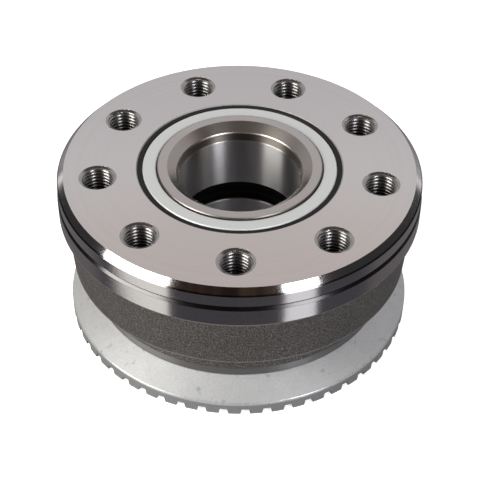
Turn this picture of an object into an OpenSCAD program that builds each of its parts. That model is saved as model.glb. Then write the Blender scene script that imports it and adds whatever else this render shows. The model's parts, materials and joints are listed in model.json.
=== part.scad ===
// Wheel hub bearing for a heavy road vehicle.
// A flanged outer ring turns on two rows of tapered rollers around two inner rings.
// Millimetres. Z runs along the axle, out of the flange face, and that face is Z = 0.
// The inboard half of the bearing is the mirror image of the outboard half.

/* [Outer ring] */
// Distance between the two end faces of the outer ring
hub_length = 82; // [78:0.5:90]
// Radius of the turned pilot band under the flange face
pilot_r = 90; // [88:0.5:94]
// Depth of the pilot band below the flange face
pilot_depth = 9; // [7:0.5:11]
// Size of the chamfer round the flange face
face_chamfer = 3.25; // [1.5:0.25:4]
// Width of the turned groove under the pilot band
groove_width = 2.4; // [1.5:0.1:3]
// Depth of that groove below the pilot band
groove_depth = 0.7; // [0.3:0.1:1]
// How much further out the flange band stands than the pilot band
flange_step = 0.45; // [0.2:0.05:1]
// Thickness of the turned flange
flange_thickness = 20.9; // [19:0.5:24]
// How far the forged body lies inside the flange band
forging_inset = 3; // [2:0.25:4]
// Draft of the forged body, as radius lost from top to bottom
forging_draft = 2.2; // [1:0.1:3]
// Depth of the forged body's lower edge below the flange face
forging_depth = 51.1; // [48:0.1:54]
// Rounding of that lower edge
forging_round = 0.8; // [0.4:0.1:3]
// How far the turned waist lies inside the forged body's lower edge
waist_inset = 9.25; // [7:0.25:11]
// Length of the waist's turned end
waist_length = 4.7; // [3:0.1:6]
// How far the forged neck above it stands proud of the turned end
neck_step = 0.3; // [0.1:0.1:1]
// Fillet between that neck and the forged body
neck_fillet = 4; // [2:0.25:5]
// How far the tone ring's spigot lies inside the waist
spigot_inset = 6; // [5:0.25:8]
// Length of that spigot
spigot_length = 12.5; // [11:0.5:14]

/* [Wheel bolt holes] */
// Number of tapped holes
bolt_count = 9; // [5:1:10]
// Radius of the bolt circle
bolt_circle_r = 70; // [66:0.5:73]
// Major radius of the thread
bolt_r = 8; // [6:0.5:8.5]
// Width of the countersink at the flange face
countersink = 1.3; // [0.5:0.1:2]
// Depth of the countersink
countersink_depth = 0.7; // [0.4:0.1:2]
// Depth of the tapped length
tapped_depth = 32; // [24:1:34]
// Depth of plain drilling below the thread
drill_run = 6; // [3:0.5:8]
// Thread depth on the radius, which the drilled end lacks
thread_height = 1; // [0.8:0.1:1.3]
// Turn of the bolt circle about the axle
bolt_turn = -91.1; // [-110:0.1:-90]

/* [Tapered rollers] */
// Rollers in each row
roller_count = 20; // [16:1:21]
// Mean diameter of a roller
roller_d = 10.6; // [9.5:0.1:11]
// Length of a roller
roller_length = 20; // [17:0.5:21]
// Tilt of the roller axes from the axle
roller_tilt = 12.4; // [10:0.2:14]
// Rounding of a roller's ends
roller_edge = 0.5; // [0.3:0.1:0.8]

/* [Inner rings] */
// Radius of the spindle bore
bore_r = 30; // [27:0.5:32]
// Thickness of an inner ring under the rollers' middles
ring_wall = 7.1; // [6.5:0.1:8]
// How far each inner ring stands proud of the outer ring's end face
ring_proud = 0.5; // [0.2:0.1:1]
// Height of the shoulder that guides the rollers' large ends
rib_height = 1.9; // [1.4:0.1:2.2]
// Height of the small shoulder at the rollers' small ends
small_rib_height = 1.2; // [0.8:0.1:1.6]
// Width of that small shoulder
small_rib_width = 3; // [2:0.25:4]
// Width of the bevel at the bore's mouth
mouth_bevel = 4.9; // [3:0.1:5.4]
// Depth of that bevel
mouth_depth = 4.1; // [2:0.1:5]
// Width of the gentle taper between the bevel and the bore
mouth_taper = 1; // [0.5:0.1:1.5]
// Depth of that taper
mouth_taper_depth = 4.5; // [2:0.1:6]
// Width of the clip's groove across both inner rings
clip_width = 11; // [8:0.1:13]
// Depth of the clip's groove below the bore
clip_depth = 2.6; // [2:0.1:3]

/* [Cages] */
// Wall thickness of a cage
cage_wall = 2.4; // [1.8:0.1:2.8]
// Distance from the roller axes out to the cage's wall
cage_offset = 0.9; // [0.6:0.1:1.3]
// Width of the closed rings at a cage's ends
cage_rim = 1.9; // [1.5:0.1:2.2]
// Height of the lip that stiffens a cage's small end
cage_lip = 1; // [0.5:0.1:1.5]

/* [Seals] */
// Depth of a seal's seat in the outer ring
seal_depth = 8.3; // [7.6:0.1:9.5]
// Thickness of the pressed steel in case and flinger
seal_sheet = 1.2; // [0.8:0.1:1.4]
// Width of the rubber ring that shows round the flinger
seal_bead = 2.45; // [2:0.05:3]
// Thickness of the rubber over the case's edge
bead_cover = 1.3; // [0.8:0.1:1.6]
// How far the rubber ring lies below the end face
bead_recess = 0.4; // [0.2:0.1:0.8]
// How far the flinger lies below the end face
flinger_recess = 0.3; // [0.1:0.1:0.6]

/* [Tone ring] */
// Number of teeth that the speed sensor counts
tooth_count = 52; // [40:2:60]
// How far the toothed rim stands out from the waist
rim_reach = 12.1; // [10:0.1:15]
// Width of a slot between two teeth, at its closed end
slot_width = 3.5; // [3:0.1:4.5]
// How much wider a slot is at its open end
slot_flare = 1.2; // [0:0.1:1.5]
// Height of a slot
slot_height = 3.2; // [2:0.1:4]
// Height of the upright rim
rim_height = 7; // [6:0.25:9]
// Drop of the dished web from the waist to the rim
dish_drop = 7.6; // [6:0.2:9]
// Thickness of the pressed sheet
tone_sheet = 2; // [1.5:0.1:2.2]
// Rounding of the rim's upper edge
rim_round = 1; // [0.5:0.1:1.4]
// Turn of the slots about the axle
slot_turn = -87.5; // [-90:0.1:-83]

/* [Clearances] */
// Gap between a roller and the raceways
race_gap = 0.14; // [0.1:0.01:0.18]
// Gap between a roller and its pocket
pocket_gap = 0.22; // [0.15:0.01:0.3]
// Gap between a roller's large end and the shoulder that guides it
end_gap = 0.14; // [0.1:0.01:0.2]
// Gap between a cage and the seal beside it
cage_gap = 1.1; // [0.8:0.1:1.5]
// Running gap between the seal's rubber and the flinger
lip_gap = 0.25; // [0.2:0.01:0.3]
// Fitting gap between parts that turn together
fit_gap = 0.05; // [0.02:0.01:0.08]

/* [Hidden] */
function numbered(name, i) = str(name, i < 10 ? "_0" : "_", i);

$fn = 96;
small_fn = 48;
edge_break = 0.4;
arc_steps = 6;
overcut = 1;
drill_point = 31;

// How far a raceway runs past the rollers' small ends
race_run = 1.2;
// Relief at the foot of the large shoulder: its depth and its width along the raceway
relief_depth = 0.5;
relief_width = 1.5;
// Steps between the cup's raceway, its shoulder, the seal's seat and the middle land
cup_relief = 0.05;
seat_step = 0.45;
land_step = 0.3;
// How far an inner ring's middle land lies below its small shoulder
ring_land_step = 0.6;
// Dimple in a roller's large end: its depth and its radius as a share of the roller's
dimple_depth = 0.6;
dimple_share = 0.45;
// How far the clip stays back from the bore, and its play across the groove
clip_recess = 0.5;
clip_play = 0.2;
// Rubber lining and lips, and the gap between the case's hole and the flinger's sleeve
lining = 0.8;
lip_thickness = 0.4;
case_hole_gap = 2.2;

flange_r = pilot_r + flange_step;
forging_top_r = flange_r - forging_inset;
forging_low_r = forging_top_r - forging_draft;
waist_r = forging_low_r - waist_inset;
waist_end_z = -hub_length + spigot_length;
neck_r = waist_r + neck_step;
spigot_r = waist_r - spigot_inset;
rim_r = waist_r + rim_reach;
rim_top_z = waist_end_z - dish_drop;
rim_low_z = rim_top_z - rim_height;
mid_z = -hub_length / 2;

// All cones of a row meet in one apex on the axle, so the rollers roll and never slide.
pitch_r = bore_r + ring_wall + (roller_d / 2 + race_gap) * cos(roller_tilt);
roller_taper = atan(roller_d / 2 * sin(roller_tilt) / pitch_r);
apex_to_mid = pitch_r / sin(roller_tilt);
near_s = apex_to_mid - roller_length / 2;
far_s = apex_to_mid + roller_length / 2;
cage_near_s = near_s - pocket_gap - cage_rim;
cage_far_s = far_s + pocket_gap + cage_rim;
// The cage's upper edge lies just inside the seal, which sets the depth of the row.
cage_top_z = -seal_depth - cage_gap;
apex_z = cage_top_z - cage_far_s * cos(roller_tilt) + cage_offset * sin(roller_tilt);

// A point s along a roller's axis from the apex and t square to it, as radius and height
function along(s, t) = [
    s * sin(roller_tilt) + t * cos(roller_tilt),
    apex_z + s * cos(roller_tilt) - t * sin(roller_tilt)];

// The point at radius r on the line that crosses a roller's axis squarely at s
function across(s, r) = along(s, (r - s * sin(roller_tilt)) / cos(roller_tilt));

// Points on the two raceways at s along the roller's axis
function cup_race(s) = along(s, s * tan(roller_taper) + race_gap);
function cone_race(s) = along(s, -s * tan(roller_taper) - race_gap);

// Points of an arc about [x, y]
function arc(x, y, r, from, to) = [
    for (i = [0:arc_steps])
        let (a = from + (to - from) * i / arc_steps)
            [x + r * cos(a), y + r * sin(a)]];

cup_shoulder_r = cup_race(far_s)[0] + cup_relief;
seat_r = cup_shoulder_r + seat_step;
cup_land_r = cup_race(near_s - race_run)[0] - land_step;
rib_r = cone_race(far_s)[0] + rib_height;
small_rib_r = cone_race(near_s)[0] + small_rib_height;
clip_r = bore_r + clip_depth;

// The seal's radii and heights, from the outer ring inwards
case_r = seat_r - fit_gap;
case_in_r = case_r - seal_sheet;
case_top_z = -bead_recess - bead_cover;
case_floor_z = -seal_depth + fit_gap;
case_shelf_z = case_floor_z + seal_sheet;
bead_r = seat_r - seal_bead;
flinger_r = bead_r - lip_gap;
sleeve_in_r = rib_r + fit_gap;
sleeve_r = sleeve_in_r + seal_sheet;
case_hole_r = sleeve_r + case_hole_gap;

// One tapped hole, cut from the flange face down
module bolt_hole() {
    drill_r = bolt_r - thread_height;
    tip = drill_r * tan(drill_point);
    translate([0, 0, -tapped_depth])
        cylinder(r = bolt_r, h = tapped_depth + overcut, $fn = small_fn);
    translate([0, 0, -tapped_depth - drill_run])
        cylinder(r = drill_r, h = drill_run + overcut, $fn = small_fn);
    translate([0, 0, -tapped_depth - drill_run - tip])
        cylinder(r1 = 0, r2 = drill_r, h = tip, $fn = small_fn);
    translate([0, 0, -countersink_depth])
        cylinder(r1 = bolt_r, r2 = bolt_r + countersink * (1 + overcut / countersink_depth),
            h = countersink_depth + overcut, $fn = small_fn);
}

// Half of the cup, from the outboard end face to the middle plane, and its mirror image
cup_half = [
    [seat_r + edge_break, 0],
    [seat_r, -edge_break],
    [seat_r, -seal_depth],
    [cup_shoulder_r, -seal_depth],
    [cup_shoulder_r, cup_race(far_s)[1]],
    cup_race(far_s),
    cup_race(near_s - race_run),
    [cup_land_r, cup_race(near_s - race_run)[1] - edge_break]];
cup_mirrored = [
    for (i = [len(cup_half) - 1:-1:0])
        [cup_half[i][0], 2 * mid_z - cup_half[i][1]]];

// The outer ring's outside, from the bottom up
ring_outside = concat(
    [[spigot_r - edge_break * 2, -hub_length],
     [spigot_r, -hub_length + edge_break * 2],
     [spigot_r, waist_end_z],
     [waist_r - edge_break, waist_end_z],
     [waist_r, waist_end_z + edge_break],
     [waist_r, waist_end_z + waist_length],
     [neck_r, waist_end_z + waist_length + neck_step]],
    arc(neck_r + neck_fillet, -forging_depth - neck_fillet, neck_fillet, 180, 90),
    arc(forging_low_r - forging_round, -forging_depth + forging_round, forging_round, -90, 0),
    [[forging_top_r, -flange_thickness - edge_break * 2],
     [flange_r - edge_break, -flange_thickness],
     [flange_r, -flange_thickness + edge_break],
     [flange_r, -pilot_depth - groove_width],
     [pilot_r - groove_depth, -pilot_depth - groove_width + groove_depth + flange_step],
     [pilot_r - groove_depth, -pilot_depth - groove_depth / 2],
     [pilot_r, -pilot_depth],
     [pilot_r, -face_chamfer],
     [pilot_r - face_chamfer, 0]]);

// The ring that carries the wheel: flange, body and both outer raceways in one piece
module outer_ring() {
    color("silver")
        difference() {
            rotate_extrude()
                polygon(concat(ring_outside, cup_half, cup_mirrored));
            for (i = [0:bolt_count - 1])
                rotate([0, 0, bolt_turn + i * 360 / bolt_count])
                    translate([bolt_circle_r, 0, 0])
                        bolt_hole();
        }
}

// The pressed ring on the spigot whose toothed rim passes the speed sensor
module tone_ring() {
    slope = atan2(dish_drop, rim_reach);
    fold = tone_sheet * tan(slope / 2);
    brow_z = rim_top_z - rim_round * tan((90 - slope) / 2);
    collar_in_r = spigot_r + fit_gap;
    collar_r = collar_in_r + tone_sheet;
    collar_low_z = -hub_length + edge_break;
    rim_in_r = rim_r - tone_sheet;
    rim_in_z = rim_top_z + tone_sheet * tan(slope) - tone_sheet / cos(slope);
    open_width = slot_width + slot_flare * (1 + overcut / slot_height);
    color("gainsboro")
        difference() {
            rotate_extrude()
                polygon(concat(
                    [[collar_in_r, collar_low_z],
                     [collar_in_r, waist_end_z],
                     [waist_r, waist_end_z]],
                    arc(rim_r - rim_round, brow_z, rim_round, 90 - slope, 0),
                    [[rim_r, rim_low_z],
                     [rim_in_r, rim_low_z],
                     [rim_in_r, rim_in_z],
                     [waist_r - fold, waist_end_z - tone_sheet],
                     [collar_r, waist_end_z - tone_sheet],
                     [collar_r, collar_low_z]]));
            for (i = [0:tooth_count - 1])
                rotate([0, 0, slot_turn + i * 360 / tooth_count])
                    translate([rim_in_r - overcut, 0, rim_low_z])
                        rotate([90, 0, 90])
                            linear_extrude(tone_sheet + 2 * overcut)
                                polygon([
                                    [-slot_width / 2, slot_height],
                                    [-open_width / 2, -overcut],
                                    [open_width / 2, -overcut],
                                    [slot_width / 2, slot_height]]);
        }
}

// An inner ring: bore and clip groove inside, raceway between its two shoulders outside
module inner_ring() {
    corner = [bore_r + mouth_taper, ring_proud - mouth_depth];
    corner_cut = mouth_taper / 3;
    clip_z = mid_z + clip_width / 2;
    relief_t = -far_s * tan(roller_taper) - relief_depth;
    small_rib_s = near_s - relief_depth;
    land_z = across(small_rib_s, small_rib_r)[1] - small_rib_width;
    land_r = small_rib_r - ring_land_step;
    rotate_extrude()
        polygon([
            [clip_r, mid_z],
            [clip_r, clip_z],
            [bore_r + edge_break, clip_z],
            [bore_r, clip_z + edge_break],
            [bore_r, corner[1] - mouth_taper_depth],
            [corner[0] - corner_cut / 2, corner[1] - corner_cut * 2],
            [corner[0], corner[1] - corner_cut / 2],
            [corner[0] + corner_cut * 1.2, corner[1] + corner_cut],
            [corner[0] + mouth_bevel, ring_proud],
            [rib_r - edge_break, ring_proud],
            [rib_r, ring_proud - edge_break],
            across(far_s + end_gap, rib_r),
            along(far_s + end_gap, relief_t),
            along(far_s - relief_width, relief_t),
            cone_race(far_s - relief_width - relief_depth),
            cone_race(small_rib_s),
            across(small_rib_s, small_rib_r),
            [small_rib_r, land_z],
            [land_r, land_z - ring_land_step],
            [land_r, mid_z]]);
}

module inner_ring_outboard() {
    color("darkgray")
        inner_ring();
}

// Turns an outboard piece into its inboard twin
module inboard() {
    translate([0, 0, 2 * mid_z])
        mirror([0, 0, 1])
            children();
}

module inner_ring_inboard() {
    color("darkgray")
        inboard()
            inner_ring();
}

// The clip that holds the two inner rings together until the hub is on its spindle
module clip_ring() {
    half = (clip_width - clip_play) / 2;
    out_r = clip_r - fit_gap;
    in_r = bore_r + clip_recess;
    step_r = (in_r + out_r) / 2;
    color("black")
        rotate_extrude()
            polygon([
                [out_r, mid_z - half],
                [out_r, mid_z + half],
                [in_r, mid_z + half],
                [in_r, mid_z + half * 0.3],
                [step_r, mid_z + half * 0.15],
                [step_r, mid_z - half * 0.15],
                [in_r, mid_z - half * 0.3],
                [in_r, mid_z - half]]);
}

// Steel case pressed into the outer ring
module seal_case() {
    color("dimgray")
        rotate_extrude()
            polygon([
                [case_r, case_top_z],
                [case_in_r, case_top_z],
                [case_in_r, case_shelf_z],
                [case_hole_r, case_shelf_z],
                [case_hole_r, case_floor_z],
                [case_r, case_floor_z]]);
}

// Rubber bonded to the case: the ring that shows, a lining, a face lip and a radial lip
module seal_rubber() {
    lining_z = case_shelf_z + lining;
    lip_r = sleeve_r + lip_gap;
    face_lip_r = (flinger_r + sleeve_r) / 2;
    face_lip_z = -flinger_recess - seal_sheet - lip_gap;
    color("black")
        rotate_extrude()
            polygon([
                [case_r, -bead_recess],
                [case_r, case_top_z],
                [case_in_r, case_top_z],
                [case_in_r, case_shelf_z],
                [case_hole_r, case_shelf_z],
                [case_hole_r, case_floor_z],
                [case_hole_r - lining, case_floor_z],
                [lip_r, case_shelf_z - lip_thickness],
                [lip_r, case_shelf_z],
                [case_hole_r - lining, lining_z],
                [face_lip_r, lining_z],
                [face_lip_r + lining, face_lip_z],
                [face_lip_r + lining + lip_thickness, face_lip_z],
                [face_lip_r + lining, lining_z],
                [bead_r, lining_z],
                [bead_r, -bead_recess - edge_break],
                [bead_r + edge_break, -bead_recess]]);
}

// Zinc-plated flinger pressed onto the inner ring, which turns with it and hides the lips
module flinger() {
    color("gainsboro")
        rotate_extrude()
            polygon(concat(
                [[sleeve_in_r, case_floor_z + edge_break]],
                arc(sleeve_r, -flinger_recess - seal_sheet, seal_sheet, 180, 90),
                [[flinger_r - edge_break, -flinger_recess],
                 [flinger_r, -flinger_recess - edge_break],
                 [flinger_r, -flinger_recess - seal_sheet],
                 [sleeve_r, -flinger_recess - seal_sheet],
                 [sleeve_r, case_floor_z + edge_break]]));
}

// Puts what lies along a roller's axis at place i in its row
module in_row(i) {
    translate([0, 0, apex_z])
        rotate([0, roller_tilt, i * 360 / roller_count])
            children();
}

// A tapered roller with rounded ends and a dimple in its large end
module roller(i) {
    low_r = near_s * tan(roller_taper);
    high_r = far_s * tan(roller_taper);
    ease = roller_edge * tan(roller_taper);
    color("lightgray")
        in_row(i)
            translate([0, 0, near_s])
                rotate_extrude($fn = small_fn)
                    polygon([
                        [0, 0],
                        [low_r - roller_edge, 0],
                        [low_r + ease, roller_edge],
                        [high_r - ease, roller_length - roller_edge],
                        [high_r - roller_edge, roller_length],
                        [high_r * dimple_share, roller_length],
                        [high_r * dimple_share - dimple_depth, roller_length - dimple_depth],
                        [0, roller_length - dimple_depth]]);
}

// Conical cage with one pocket for each roller
module cage() {
    pocket_near_s = near_s - pocket_gap;
    pocket_far_s = far_s + pocket_gap;
    lip_s = cage_near_s + cage_rim - edge_break;
    color("saddlebrown")
        difference() {
            rotate_extrude()
                polygon([
                    along(cage_near_s, cage_offset - cage_lip),
                    along(cage_near_s, cage_offset + cage_wall),
                    along(cage_far_s, cage_offset + cage_wall),
                    along(cage_far_s, cage_offset),
                    along(lip_s, cage_offset),
                    along(lip_s, cage_offset - cage_lip)]);
            for (i = [1:roller_count])
                in_row(i)
                    translate([0, 0, pocket_near_s])
                        cylinder(r1 = pocket_near_s * tan(roller_taper) + pocket_gap,
                            r2 = pocket_far_s * tan(roller_taper) + pocket_gap,
                            h = pocket_far_s - pocket_near_s, $fn = small_fn);
        }
}

outer_ring();
tone_ring();
inner_ring_outboard();
inner_ring_inboard();
clip_ring();
seal_case();  // seal_case_outboard
seal_rubber();  // seal_rubber_outboard
flinger();  // flinger_outboard
cage();  // cage_outboard
inboard() seal_case();  // seal_case_inboard
inboard() seal_rubber();  // seal_rubber_inboard
inboard() flinger();  // flinger_inboard
inboard() cage();  // cage_inboard
for (i = [1:roller_count]) {
    roller(i);
    inboard() roller(i);
}
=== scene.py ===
# %% [markdown]
# # A wheel hub bearing for a heavy road vehicle
# The solids come from the CAD model and stay as they are. This lesson gives them their
# finishes, cuts the threads that the solids leave out, and lights and frames the whole as
# in the reference photograph. Everything is in metres, in the CAD model's own frame.

# %% Load the frame
import json
from math import cos, pi, radians, sin

import bmesh
import bpy
from mathutils import Matrix, Vector

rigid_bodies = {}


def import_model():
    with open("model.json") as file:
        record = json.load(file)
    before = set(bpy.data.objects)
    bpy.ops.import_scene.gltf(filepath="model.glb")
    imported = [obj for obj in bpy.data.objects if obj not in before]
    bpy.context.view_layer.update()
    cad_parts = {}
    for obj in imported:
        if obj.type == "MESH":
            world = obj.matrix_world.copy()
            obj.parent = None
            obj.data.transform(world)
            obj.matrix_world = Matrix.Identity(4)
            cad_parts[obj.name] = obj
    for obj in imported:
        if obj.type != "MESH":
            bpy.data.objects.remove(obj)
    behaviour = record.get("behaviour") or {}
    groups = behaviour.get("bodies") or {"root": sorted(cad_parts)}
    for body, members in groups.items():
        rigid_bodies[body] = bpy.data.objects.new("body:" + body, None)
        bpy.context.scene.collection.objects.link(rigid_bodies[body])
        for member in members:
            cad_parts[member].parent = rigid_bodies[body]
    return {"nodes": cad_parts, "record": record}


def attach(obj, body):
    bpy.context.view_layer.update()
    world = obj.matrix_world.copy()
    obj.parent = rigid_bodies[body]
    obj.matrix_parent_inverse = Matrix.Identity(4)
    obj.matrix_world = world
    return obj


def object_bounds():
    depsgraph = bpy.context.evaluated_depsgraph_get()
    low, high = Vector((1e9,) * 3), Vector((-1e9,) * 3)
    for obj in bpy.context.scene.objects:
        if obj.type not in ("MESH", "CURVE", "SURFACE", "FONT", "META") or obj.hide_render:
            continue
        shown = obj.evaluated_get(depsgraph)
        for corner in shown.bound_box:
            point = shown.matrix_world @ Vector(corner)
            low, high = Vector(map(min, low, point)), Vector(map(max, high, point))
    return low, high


for leftover in list(bpy.data.objects):
    bpy.data.objects.remove(leftover)
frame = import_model()
cad_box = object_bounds()
nodes = frame["nodes"]
MM = 0.001


def mm(*lengths):
    """Lengths in millimetres, turned into metres."""
    return [length * MM for length in lengths]


print("CAD box", [list(corner) for corner in cad_box])

# %% [markdown]
# ## Camera
# The ellipses of the rings in the photograph give the camera: their widths fix the
# distance, and the way they flatten fixes the height. It looks down at about 42 degrees
# through a long lens, and leans by half a degree. The rows of a rotation matrix that is
# then transposed are the camera's own right, up and backward directions.

# %% Camera
LENS_MM = 95.4
CAMERA_AT = Vector((0.000454, -0.49138, 0.39070))
LOOK_DOWN = radians(41.864)
LEAN = radians(0.564)

camera = bpy.data.objects.new("camera", bpy.data.cameras.new("camera"))
camera.data.lens = LENS_MM
side = Vector((1, 0, 0))
rise = Vector((0, sin(LOOK_DOWN), cos(LOOK_DOWN)))
back = Vector((0, -cos(LOOK_DOWN), sin(LOOK_DOWN)))
leaning_side = side * cos(LEAN) + rise * sin(LEAN)
leaning_rise = rise * cos(LEAN) - side * sin(LEAN)
axes = Matrix((leaning_side, leaning_rise, back)).transposed()
camera.matrix_world = Matrix.Translation(CAMERA_AT) @ axes.to_4x4()
bpy.context.scene.collection.objects.link(camera)
bpy.context.scene.camera = camera
bpy.context.scene.view_settings.view_transform = "Standard"
print("camera", tuple(round(c, 3) for c in camera.location))

# %% [markdown]
# ## Shader maths in plain Python
# A material is a graph of nodes, and a graph written out node by node is hard to read.
# Here a small class stands for a socket, so that an expression such as 1 - mask adds the
# Math node by itself. Every other node comes from one method, which sets the node's own
# settings first, because some of them change which sockets it has.


# %% Sockets that do arithmetic
class Value:
    """A number that varies over a surface, as a socket of a material."""

    def __init__(self, finish, socket):
        self.finish, self.socket = finish, socket

    def math(self, operation, *terms):
        sockets = dict(enumerate(terms))
        return self.finish.node("ShaderNodeMath", {"operation": operation}, sockets)

    def __add__(self, other):
        return self.math("ADD", self, other)

    def __sub__(self, other):
        return self.math("SUBTRACT", self, other)

    def __rsub__(self, other):
        return self.math("SUBTRACT", other, self)

    def __mul__(self, other):
        return self.math("MULTIPLY", self, other)

    def __pow__(self, other):
        return self.math("POWER", self, other)

    __radd__, __rmul__ = __add__, __mul__

    def at_most(self, limit):
        return self.math("MINIMUM", self, limit)

    def rises(self, start, end):
        """0 below start and 1 above end, with a soft step between them."""
        settings = {"interpolation_type": "SMOOTHSTEP"}
        sockets = {"Value": self, "From Min": start, "From Max": end}
        return self.finish.node("ShaderNodeMapRange", settings, sockets)

    def within(self, low, high, soft):
        """1 between low and high, fading to 0 over soft on either side."""
        return self.rises(low - soft, low) * (1 - self.rises(high, high + soft))


print("sockets add, multiply and mask")


# %% Finishes
class Finish:
    """A material, built from the surface's own place on the object, or a world."""

    def __init__(self, name, owners=bpy.data.materials, place="Object"):
        self.owner = owners.new(name)
        self.owner.use_nodes = True
        self.tree = self.owner.node_tree
        self.tree.nodes.clear()
        self.place = self.node("ShaderNodeTexCoord", output=place)
        self.x, self.y, self.z = [
            self.node("ShaderNodeSeparateXYZ", {}, {0: self.place}, axis) for axis in "XYZ"]

    def node(self, kind, settings=None, sockets=None, output=0):
        """A node with its settings, and with a value or a link in each named socket."""
        made = self.tree.nodes.new(kind)
        for name, setting in (settings or {}).items():
            if name == "stops":
                while len(made.color_ramp.elements) < len(setting):
                    made.color_ramp.elements.new(1)
                for stop, (at, colour) in zip(made.color_ramp.elements, setting):
                    stop.position, stop.color = at, colour
            else:
                setattr(made, name, setting)
        for name, value in (sockets or {}).items():
            if isinstance(value, Value):
                self.tree.links.new(value.socket, made.inputs[name])
            else:
                made.inputs[name].default_value = value
        return Value(self, made.outputs[output])

    def from_axle(self):
        """Distance from the axle."""
        return (self.x ** 2 + self.y ** 2) ** 0.5

    def noise(self, size, detail=2, along=None):
        """Noise with lumps of that size: solid, or in rings along one measure."""
        sockets = {"Scale": 1 / size, "Detail": detail}
        if along is None:
            sockets["Vector"] = self.place
            return self.node("ShaderNodeTexNoise", {}, sockets)
        sockets["W"] = along
        return self.node("ShaderNodeTexNoise", {"noise_dimensions": "1D"}, sockets)

    def blend(self, share, first, second):
        """Mixes two colours."""
        settings = {"data_type": "RGBA"}
        return self.node("ShaderNodeMix", settings, {0: share, 6: first, 7: second}, 2)

    def painted(self, colour, *coats):
        """A colour with others laid over it, each where its share is 1."""
        for share, coat in coats:
            colour = self.blend(share, colour, coat)
        return colour

    def bump(self, height, depth):
        """A normal from a height between 0 and 1 that stands for depth in metres."""
        sockets = {"Height": height, "Distance": depth, "Strength": 1.0}
        return self.node("ShaderNodeBump", {}, sockets)

    def shader(self, **values):
        """The principled shader, its sockets named with _ for a space."""
        sockets = {name.replace("_", " "): value for name, value in values.items()}
        return self.node("ShaderNodeBsdfPrincipled", {}, sockets)

    def surface(self, **values):
        """A material of one shader."""
        return self.end_in(self.shader(**values))

    def two_surfaces(self, share, first, second):
        """A material that shows the second shader where share is 1."""
        return self.end_in(self.node("ShaderNodeMixShader", {}, {0: share, 1: first, 2: second}))

    def end_in(self, shader, kind="ShaderNodeOutputMaterial"):
        end = self.tree.nodes.new(kind)
        self.tree.links.new(shader.socket, end.inputs["Surface"])
        return self.owner


def grey(level, warm=0.0):
    """A neutral colour, a little redder than blue where warm is above 0."""
    return (level * (1 + warm), level, level * (1 - warm), 1)


def dress(name, material):
    """Gives CAD nodes whose names start that way their finish."""
    dressed = [n for n in nodes if n.startswith(name)]
    for n in dressed:
        for place in nodes[n].material_slots:
            place.material = material
    print(name, "dressed:", len(dressed))


print("shader helpers ready")

# %% [markdown]
# ## Soft boxes
# Polished steel shows its room more than its own colour. The bright bars on the chamfers
# and in the bore are two soft boxes, a broad one to the left and a narrow one to the right,
# with the dim room between them. Where a bar ends on a chamfer gives the box's direction
# and size. The left box is swung about an upright line, so that its rear side is nearer
# and reaches higher, as its bar does.

# %% Soft boxes
FAR = 2.5
WARM_WHITE = (1.0, 0.965, 0.92)
COOL_WHITE = (0.975, 0.96, 1.0)


def soft_box(name, azimuth, elevation, wide, tall, swing, level, colour):
    """An area lamp at a compass angle and a height angle, aimed at the part, then swung."""
    a, e = radians(azimuth), radians(elevation)
    at = Vector((cos(a) * cos(e), sin(a) * cos(e), sin(e))) * FAR
    lamp = bpy.data.lights.new(name, "AREA")
    lamp.shape, lamp.size, lamp.size_y = "RECTANGLE", wide, tall
    lamp.energy, lamp.color = level * pi * wide * tall, colour
    box = bpy.data.objects.new(name, lamp)
    aim = (-at).to_track_quat("-Z", "Y").to_matrix().to_4x4()
    box.matrix_world = Matrix.Translation(at) @ Matrix.Rotation(radians(swing), 4, "Z") @ aim
    bpy.context.scene.collection.objects.link(box)


soft_box(
    "soft_box_left", azimuth=204.8, elevation=26, wide=1.64, tall=1.62, swing=24,
    level=10.8, colour=WARM_WHITE)
soft_box(
    "soft_box_right", azimuth=-51, elevation=27.5, wide=0.70, tall=1.76, swing=0,
    level=11.0, colour=COOL_WHITE)
print("two soft boxes,", FAR, "m away")

# %% [markdown]
# ## Table and floor
# The part stands on a pale floor, which shows as white to the camera and keeps the part's
# shadow. The upright bands of the outer ring mirror a darker table in the photograph, so a
# dull sheet that only reflections see lies just above the floor.

# %% Table and floor
LOWEST = cad_box[0][2]
TABLE_ABOVE = 0.5 * MM
FLOOR_BELOW = 0.02 * MM
TABLE_SIZE = 1.8
FLOOR_SIZE = 20
FLOOR_LIFT = 0.65


def sheet(name, size, height):
    """A square sheet that lies flat at that height."""
    shape = bmesh.new()
    bmesh.ops.create_grid(shape, x_segments=1, y_segments=1, size=size / 2)
    bmesh.ops.translate(shape, verts=shape.verts, vec=(0, 0, height))
    mesh = bpy.data.meshes.new(name)
    shape.to_mesh(mesh)
    shape.free()
    lying = bpy.data.objects.new(name, mesh)
    bpy.context.scene.collection.objects.link(lying)
    return lying


table = sheet("table", TABLE_SIZE, LOWEST + TABLE_ABOVE)
table.visible_camera = table.visible_shadow = table.visible_diffuse = False
# The sheet also glows faintly: a painted light that sets how bright the bands' reflection of it
# is.
table.data.materials.append(Finish("dull_glowing_table").surface(
    Base_Color=grey(0.105), Metallic=1.0, Roughness=0.12,
    Emission_Color=(1, 0.93, 1.1, 1), Emission_Strength=0.075))

floor = sheet("floor", FLOOR_SIZE, LOWEST - FLOOR_BELOW)
floor_paint = Finish("pale_floor")
lit = floor_paint.node("ShaderNodeBsdfDiffuse", {}, {"Color": grey(0.93)})
ray = [floor_paint.node("ShaderNodeLightPath", output=f"Is {kind} Ray")
       for kind in ("Camera", "Glossy", "Transmission")]
lift = floor_paint.node(
    "ShaderNodeEmission", {}, {"Strength": (ray[0] + ray[1] + ray[2]) * FLOOR_LIFT})
floor.data.materials.append(floor_paint.end_in(
    floor_paint.node("ShaderNodeAddShader", {}, {0: lit, 1: lift})))
print("floor at", round(LOWEST, 4))

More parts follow.
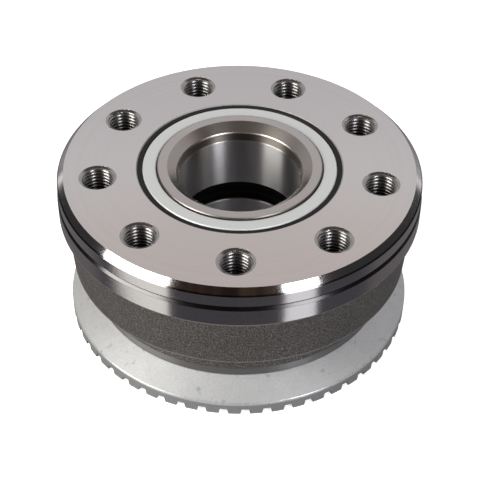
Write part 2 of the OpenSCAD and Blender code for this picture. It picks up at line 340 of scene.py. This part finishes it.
# %% [markdown]
# ## Room
# The flat face mirrors a pale wall behind the part, which reaches further round the sides
# the higher it gets. In front of the part the room is dark, with brown patches that show on
# the front of the chamfer, at the sides it is dim, and overhead is a dim brown ceiling that
# the bevel of the inner ring mirrors. A world's Generated place is a direction, so its z is
# 0 at the horizon and 1 overhead.

# %% Room
DIM = (0.045, 0.043, 0.045, 1)
BROWN = (0.064, 0.040, 0.026, 1)
DARK_BROWN = (0.020, 0.010, 0.009, 1)
CEILING = (0.15, 0.13, 0.115, 1)
WALL = [
    (0.0, (0.70, 0.68, 0.68, 1)), (0.56, (0.79, 0.755, 0.775, 1)),
    (0.62, (0.92, 0.89, 0.905, 1)), (0.68, (0.85, 0.75, 0.715, 1)),
    (0.75, (0.82, 0.72, 0.69, 1)), (0.83, CEILING)]

room = Finish("room", bpy.data.worlds, "Generated")
wall = room.node("ShaderNodeValToRGB", {"stops": WALL}, {"Fac": room.z})
wall_share = (room.y + room.z * 1.1 + room.x * 0.08).rises(0.70, 0.95)
brown_share = room.noise(0.16, 2, room.x).rises(0.4, 0.65)
front = room.blend(brown_share, DARK_BROWN, BROWN)
around_part = room.painted(
    front, (room.y.rises(-0.6, -0.3), DIM), (room.z.rises(0.75, 0.83), CEILING),
    (wall_share, wall))
bpy.context.scene.world = room.end_in(
    room.node("ShaderNodeBackground", {}, {"Color": around_part}), "ShaderNodeOutputWorld")
print("wall of", len(WALL), "tones")

# %% [markdown]
# ## Steel of the outer ring
# One solid carries two finishes: surfaces turned on a lathe, and the skin that the forging
# hammer left between them. A CAD node keeps one material, so masks made of height and
# radius decide what shows where.

# %% Places on the outer ring
steel = Finish("turned_and_forged_steel")
radius = steel.from_axle()
outside = radius.rises(*mm(87, 87.2))
narrow_part = radius.rises(*mm(74, 75))
body = steel.z.within(*mm(-50.6, -21.3, 0.3)) * radius.rises(*mm(80, 80.5))
neck = steel.z.within(*mm(-64.5, -51.0, 0.3)) * narrow_part
waist = steel.z.within(*mm(-70, -64.8, 0.1)) * narrow_part
forged = body + neck
# Painted shade: the groove below the pilot band is coloured near black, as the shade inside it.
groove_shade = steel.z.within(*mm(-11.45, -9.05, 0.1)) * outside
chamfer_foot = steel.z.within(*mm(-3.15, -2.7, 0.2)) * outside
# Painted highlights: the lower edges of the turned band and of the forged body are coloured
# lighter, where their roundings would catch light.
band_edge_highlight = steel.z.within(*mm(-24.0, -20.3, 0.3)) * outside
body_edge_highlight = steel.z.within(*mm(-51.2, -50.0, 0.3)) * radius.rises(*mm(83, 84))
edge_highlights = band_edge_highlight + body_edge_highlight
seat_edge = steel.z.rises(*mm(-0.6, -0.5)) * radius.within(*mm(49.5, 51.1, 0.1))
bolts = radius.within(*mm(60.5, 79.5, 0.3))
countersink = steel.z.within(*mm(-0.75, -0.06, 0.04)) * bolts
hole = steel.z.within(*mm(-45, -0.8, 0.1)) * bolts * (1 - forged)
# Painted shade: the holes are coloured near black below a depth.
deep_shade = hole * (1 - steel.z.rises(*mm(-14, -3)))
drilled = countersink + hole
print("masks of the outer ring ready")

# %% [markdown]
# A lathe leaves fine grooves round the axle, which stretch a highlight across them: that is
# what the anisotropy is for. Cycles takes its direction from a circle about the object's
# middle, which is the axle here, and a quarter turn sets the stretch across the grooves.

# %% Turned steel
ACROSS_GROOVES = 0.25
rings = steel.noise(0.25 * MM, 1, radius + steel.z)
broad_rings = steel.noise(3 * MM, 2, radius + steel.z)
bright_steel = steel.blend(broad_rings, grey(0.51, 0.01), grey(0.54, 0.01))
turned_steel = steel.shader(
    Base_Color=steel.painted(
        bright_steel, (groove_shade, grey(0.07)), (chamfer_foot * 0.85, grey(0.05)),
        (waist, grey(0.19))),
    Metallic=1 - waist * 0.2,
    Roughness=0.10 + broad_rings * 0.03 + groove_shade * 0.12 + waist * 0.24,
    Anisotropic=0.7,
    Anisotropic_Rotation=ACROSS_GROOVES,
    Normal=steel.bump(rings * 0.01, 0.12 * MM))
print("turned steel mixed")

# %% [markdown]
# The forged skin is dark, grainy scale, with a few glints painted into its colour as bright
# specks. The drilled countersinks and holes are brighter, and the seat's edge is a dull light
# grey. Painted highlights lighten the lower edges of the turned band and of the forged body,
# and painted shade darkens the holes with depth.

# %% Forged steel
grain = steel.noise(0.65 * MM, 3)
# Painted glints: a few bright specks in the scale's colour.
glints = steel.noise(0.5 * MM, 1).rises(0.62, 0.74)
patches = steel.noise(9 * MM, 2)
scale = steel.blend(
    grain.rises(0.3, 0.75), (0.036, 0.034, 0.031, 1), (0.14, 0.132, 0.125, 1))
forged_steel = steel.shader(
    Base_Color=steel.painted(
        scale, (glints, grey(0.34, 0.02)), (seat_edge, grey(0.30)), (edge_highlights, grey(0.17)),
        (drilled, grey(0.34, 0.01)), (deep_shade, grey(0.01))),
    Metallic=0.5 + drilled * 0.5,
    Roughness=0.46 + patches * 0.1 - countersink * 0.33 - hole * 0.16,
    Normal=steel.bump(grain * (1 - countersink), 0.16 * MM))
not_turned = forged + edge_highlights + seat_edge + drilled
dress("outer_ring", steel.two_surfaces(not_turned.at_most(1), turned_steel, forged_steel))

# %% [markdown]
# ## Ground steel of the inner rings
# The inner rings are hardened and ground. The end face is matt, and the bevel below it is
# brighter. The bore was ground round its axle, so its highlights are drawn out into upright
# bars, and the taper that leads into it is duller and darker.

# %% Inner rings
MIDDLE = 41 * MM
ground = Finish("ground_steel")
around = ground.from_axle()
taper = around.within(*mm(30.15, 30.9, 0.06))
corner = around.within(*mm(30.8, 31.3, 0.1))
# Painted shade: the outer edge of the end face is darkened, as the shade in the gap to the
# flinger.
outer_edge_shade = around.rises(*mm(40.2, 40.5))
bore = 1 - around.rises(*mm(30.85, 30.95))
from_middle = ((ground.z + MIDDLE) ** 2) ** 0.5
end_face = from_middle.rises(*mm(41.35, 41.45))
lines = ground.noise(0.3 * MM, 1, ground.z)
cloud = ground.noise(12 * MM, 1)
flecks = ground.noise(0.9 * MM, 3)
bore_steel = ground.shader(
    Base_Color=ground.painted(
        ground.blend(lines, grey(0.48), grey(0.63)), (taper, grey(0.17, 0.10))),
    Metallic=1.0,
    Roughness=0.30 + flecks * 0.03 + taper * 0.24,
    Anisotropic=1.0,
    Anisotropic_Rotation=ACROSS_GROOVES,
    Specular_Tint=grey(0.1),
    Normal=ground.bump(lines, 0.03 * MM))
satin_steel = ground.shader(
    Base_Color=ground.painted(
        grey(0.33, 0.06), (end_face, grey(0.43, 0.02)), (outer_edge_shade, grey(0.22, 0.05))),
    Metallic=1.0,
    Roughness=0.22 + cloud * 0.04 + corner * 0.06 + outer_edge_shade * 0.12,
    Normal=ground.bump(flecks, 0.01 * MM))
dress("inner_ring", ground.two_surfaces(bore, satin_steel, bore_steel))

# %% [markdown]
# ## Zinc of the tone ring and flingers
# Zinc plating is pale and satin, with faint clouds and a few darker rubbed marks. The
# flingers are paler and greener, with a shadow painted into the bend at their inner edge,
# and the tone ring's upright rim is painted darker than its dish, as shade.

# %% Zinc
zinc = Finish("zinc_plating")
out = zinc.from_axle()
clouds = zinc.noise(7 * MM, 3)
speckle = zinc.noise(0.8 * MM, 3)
smudges = zinc.noise(4 * MM, 3).rises(0.62, 0.75)
rim_edge = out.rises(*mm(87.2, 87.5)) * zinc.z.rises(*mm(-78.6, -78.2))
# Painted shade: the tone ring's upright rim is coloured darker than its dish.
rim_wall_shade = out.rises(*mm(87.8, 88.0)) * (1 - zinc.z.rises(*mm(-78.5, -77.9)))
flat_ring = zinc.z.rises(*mm(-10, -9))
# Painted shade: the flinger's bend at its inner edge is darkened, as the shade between it and
# the inner ring.
bend_shade = flat_ring * (1 - out.rises(*mm(41.3, 41.6)))
pale_zinc = zinc.blend(
    clouds.rises(0.3, 0.7), (0.43, 0.445, 0.445, 1), (0.465, 0.48, 0.48, 1))
zinc_finish = zinc.surface(
    Base_Color=zinc.painted(
        pale_zinc,
        (speckle.rises(0.35, 0.65) * 0.6, (0.38, 0.39, 0.40, 1)),
        (smudges * 0.6, (0.23, 0.24, 0.24, 1)),
        (rim_wall_shade, (0.21, 0.225, 0.225, 1)),
        (flat_ring, (0.595, 0.63, 0.625, 1)),
        (bend_shade, grey(0.30))),
    Metallic=0.35,
    Roughness=0.42 + speckle * 0.12 - rim_edge * 0.2,
    Normal=zinc.bump(speckle, 0.05 * MM))
dress("tone_ring", zinc_finish)
dress("flinger", zinc_finish)

# %% [markdown]
# ## Seal rubber and clip
# Black rubber with a fine grain, and a dull black clip that shows hardly any light in the
# bore. Both keep a low specular level, because a black surface in a bright room otherwise
# turns grey.

# %% Rubber and clip
rubber = Finish("black_rubber")
skin = rubber.noise(0.6 * MM, 3)
dress("seal_rubber", rubber.surface(
    Base_Color=rubber.blend(skin, grey(0.005), grey(0.012)),
    Roughness=0.42 + skin * 0.2, Specular_IOR_Level=0.22,
    Normal=rubber.bump(skin, 0.05 * MM)))

clip = Finish("dull_black_clip")
clip_grain = clip.noise(0.5 * MM, 2)
dress("clip_ring", clip.surface(
    Base_Color=clip.blend(clip_grain, grey(0.0005), grey(0.002)),
    Roughness=0.7 + clip_grain * 0.1, Specular_IOR_Level=0.1,
    Normal=clip.bump(clip_grain, 0.02 * MM)))

# %% [markdown]
# ## Seal cases, cages and rollers
# The photograph shows none of these, so they get the usual finishes of such parts: oiled
# sheet steel, fibre-filled moulding and superfinished rollers.

# %% Inside pieces
case = Finish("oiled_sheet_steel")
oil = case.noise(4 * MM, 2)
dress("seal_case", case.surface(
    Base_Color=case.blend(oil, grey(0.18), grey(0.28)), Metallic=0.9,
    Roughness=0.3 + oil * 0.15))

cage = Finish("moulded_cage")
fibre = cage.noise(1.2 * MM, 3)
dress("cage", cage.surface(
    Base_Color=cage.blend(fibre, (0.34, 0.24, 0.12, 1), (0.42, 0.31, 0.17, 1)),
    Roughness=0.45 + fibre * 0.15, Normal=cage.bump(fibre, 0.02 * MM)))

roller = Finish("superfinished_steel")
film = roller.noise(3 * MM, 2)
dress("roller", roller.surface(
    Base_Color=roller.blend(film, grey(0.60), grey(0.68)), Metallic=1.0,
    Roughness=0.12 + film * 0.08))

# %% [markdown]
# ## Threads
# Each bolt hole is tapped. The CAD hole is plain at the thread's major radius, so the
# thread is a ridge that winds down its wall. Blender's spin turns a small profile about
# the hole's middle, and its step along the axis makes the turn a helix. The ridge starts
# above the hole, and what stands in the countersink is pushed back to its cone, as if the
# countersink had been cut through the thread.

# %% The ridge
PITCH = 2 * MM
ROOT = 8.08 * MM
CREST = 6.95 * MM
HALF_PROFILE = [(ROOT, 0.93), (7.55 * MM, 0.66), (7.12 * MM, 0.40), (CREST, 0.14)]
THREAD_TOP = -0.4 * MM
THREAD_END = -31.0 * MM
STEPS_A_TURN = 36
CONE_RADIUS, CONE_HEIGHT = 8 * MM, -0.7 * MM
CONE_SLOPE = 1.3 / 0.7
CONE_AT_ROOT = CONE_HEIGHT + (ROOT - CONE_RADIUS) / CONE_SLOPE
SAME_PLACE = 1e-7

turns = (THREAD_TOP - THREAD_END) / PITCH
steps = round(turns * STEPS_A_TURN)


def thread_ridge():
    """One ridge about the Z axis."""
    ridge = bmesh.new()
    profile = HALF_PROFILE + [(r, -h) for r, h in reversed(HALF_PROFILE)]
    corners = [ridge.verts.new((r, 0, THREAD_TOP + h * MM)) for r, h in profile]
    section = ridge.faces.new(corners)
    bmesh.ops.spin(
        ridge, geom=list(section.verts) + list(section.edges) + [section], cent=(0, 0, 0),
        axis=(0, 0, 1), dvec=(0, 0, -PITCH / STEPS_A_TURN),
        angle=-2 * pi * steps / STEPS_A_TURN, steps=steps, use_duplicate=False)
    for v in ridge.verts:
        cone = CONE_RADIUS + (v.co.z - CONE_HEIGHT) * CONE_SLOPE
        flat = v.co.xy.length
        if flat < cone:
            v.co.xy *= min(cone, ROOT) / flat
            v.co.z = min(v.co.z, CONE_AT_ROOT)
    bmesh.ops.remove_doubles(ridge, verts=ridge.verts, dist=SAME_PLACE)
    bmesh.ops.recalc_face_normals(ridge, faces=ridge.faces)
    for face in ridge.faces:
        face.smooth = True
    return ridge


print("a ridge of", round(turns, 1), "turns,", steps, "steps")

# %% [markdown]
# A tap leaves the flanks torn and a little rough. They catch two columns of light near the
# top, as the photograph shows, and their colour is painted dark with depth, as shade.

# %% Cut thread
cut = Finish("cut_thread")
tear = cut.noise(0.8 * MM, 3)
# Painted shade: the thread's colour goes near black with depth.
shade = 1 - cut.z.rises(*mm(-18, -2))
thread_steel = cut.surface(
    Base_Color=cut.painted(
        cut.blend(tear, grey(0.24, 0.01), grey(0.40, 0.01)), (shade, grey(0.01))),
    Metallic=1.0,
    Roughness=0.27 + tear * 0.1,
    Anisotropic=0.8,
    Anisotropic_Rotation=ACROSS_GROOVES,
    Specular_Tint=grey(0.3))
print("thread finish mixed")

# %% One thread for each bolt hole
BOLTS = 9
BOLT_CIRCLE = 70 * MM
FIRST_BOLT = radians(-91.1)
TAP_START_STEP = 2.4

record_bolts = next(m for m in frame["record"]["mounts"] if m["name"] == "flange_bolts")
assert record_bolts["dims"]["count"] == BOLTS

for i in range(BOLTS):
    ridge = thread_ridge()
    at = FIRST_BOLT + i * 2 * pi / BOLTS
    bmesh.ops.rotate(
        ridge, verts=ridge.verts, cent=(0, 0, 0),
        matrix=Matrix.Rotation(i * TAP_START_STEP, 3, "Z"))
    bmesh.ops.translate(
        ridge, verts=ridge.verts, vec=(BOLT_CIRCLE * cos(at), BOLT_CIRCLE * sin(at), 0))
    mesh = bpy.data.meshes.new(f"bolt_thread_{i + 1}")
    ridge.to_mesh(mesh)
    ridge.free()
    mesh.materials.append(thread_steel)
    thread = bpy.data.objects.new(f"bolt_thread_{i + 1}", mesh)
    bpy.context.scene.collection.objects.link(thread)
    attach(thread, "outer")
print("threads:", BOLTS)
